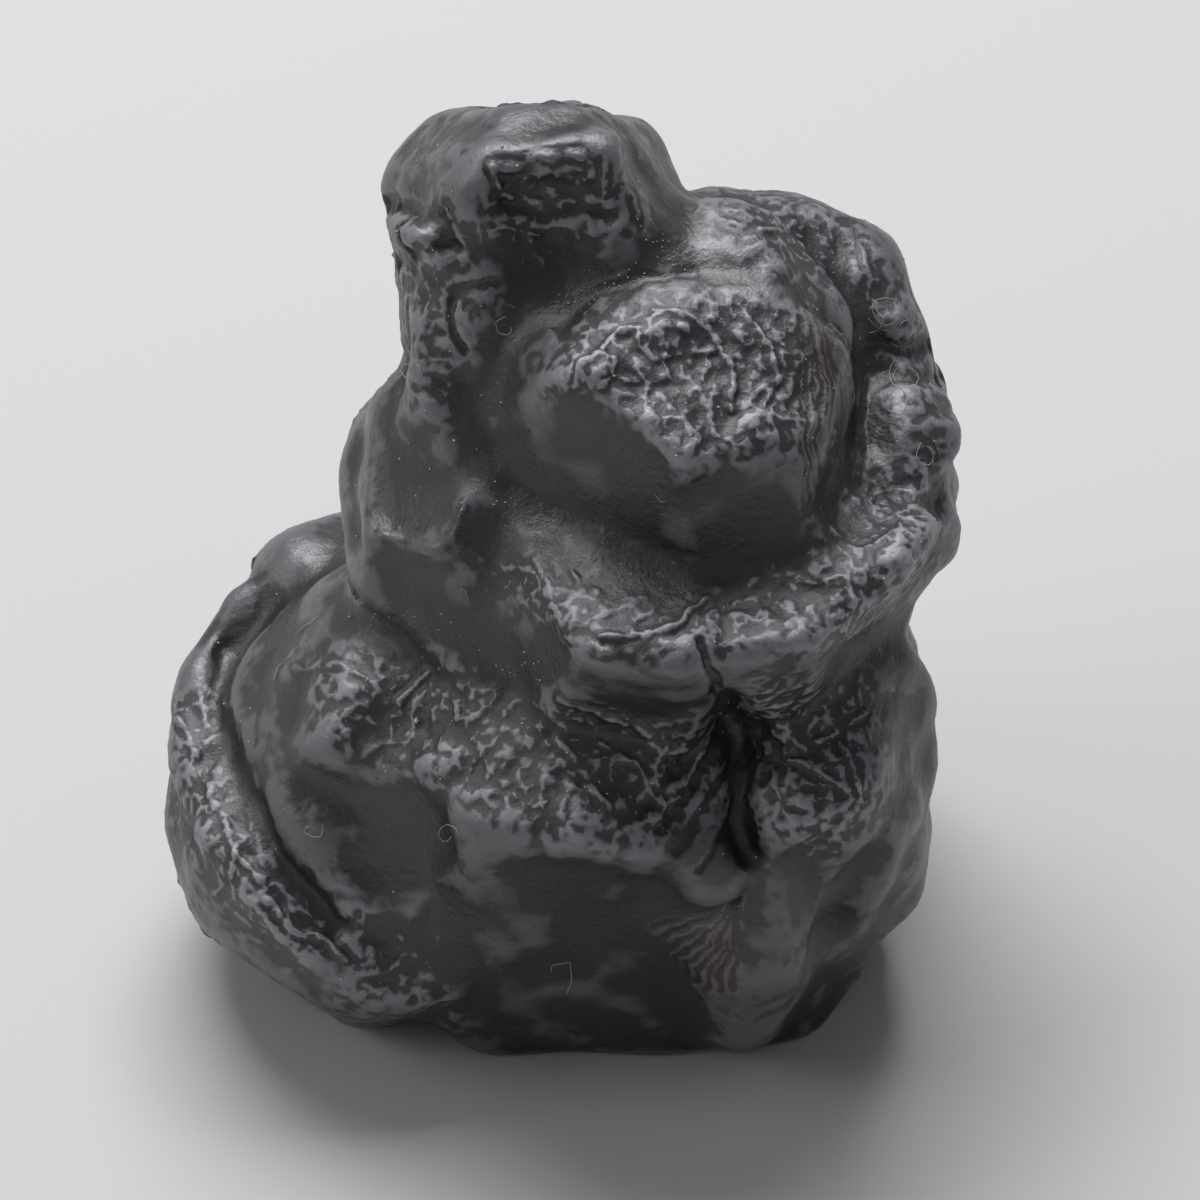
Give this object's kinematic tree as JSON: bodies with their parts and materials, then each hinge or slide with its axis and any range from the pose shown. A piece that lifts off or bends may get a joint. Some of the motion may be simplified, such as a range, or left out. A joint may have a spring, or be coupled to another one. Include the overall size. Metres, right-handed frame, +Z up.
{
  "type": "limonite concretion cluster",
  "caption": "Free-standing cluster of dark iron oxide nodules grown together: a wide foot, a thick collar, a front knob and a taller top nodule",
  "frame": {"origin": "centre of the bounding box in X and Y, on the flat resting face in Z", "axes": "+Z up as the stone stands, -Y towards the side with the knob and its two dull facets, +X to the right seen from that side"},
  "size_m": [0.0356, 0.0306, 0.0442],
  "materials": {
    "iron_oxide": "satin, dull submetallic sheen with worn bright crests"
  },
  "bodies": {
    "root": {"concretion_cluster": "iron_oxide"}
  },
  "joints": []
}
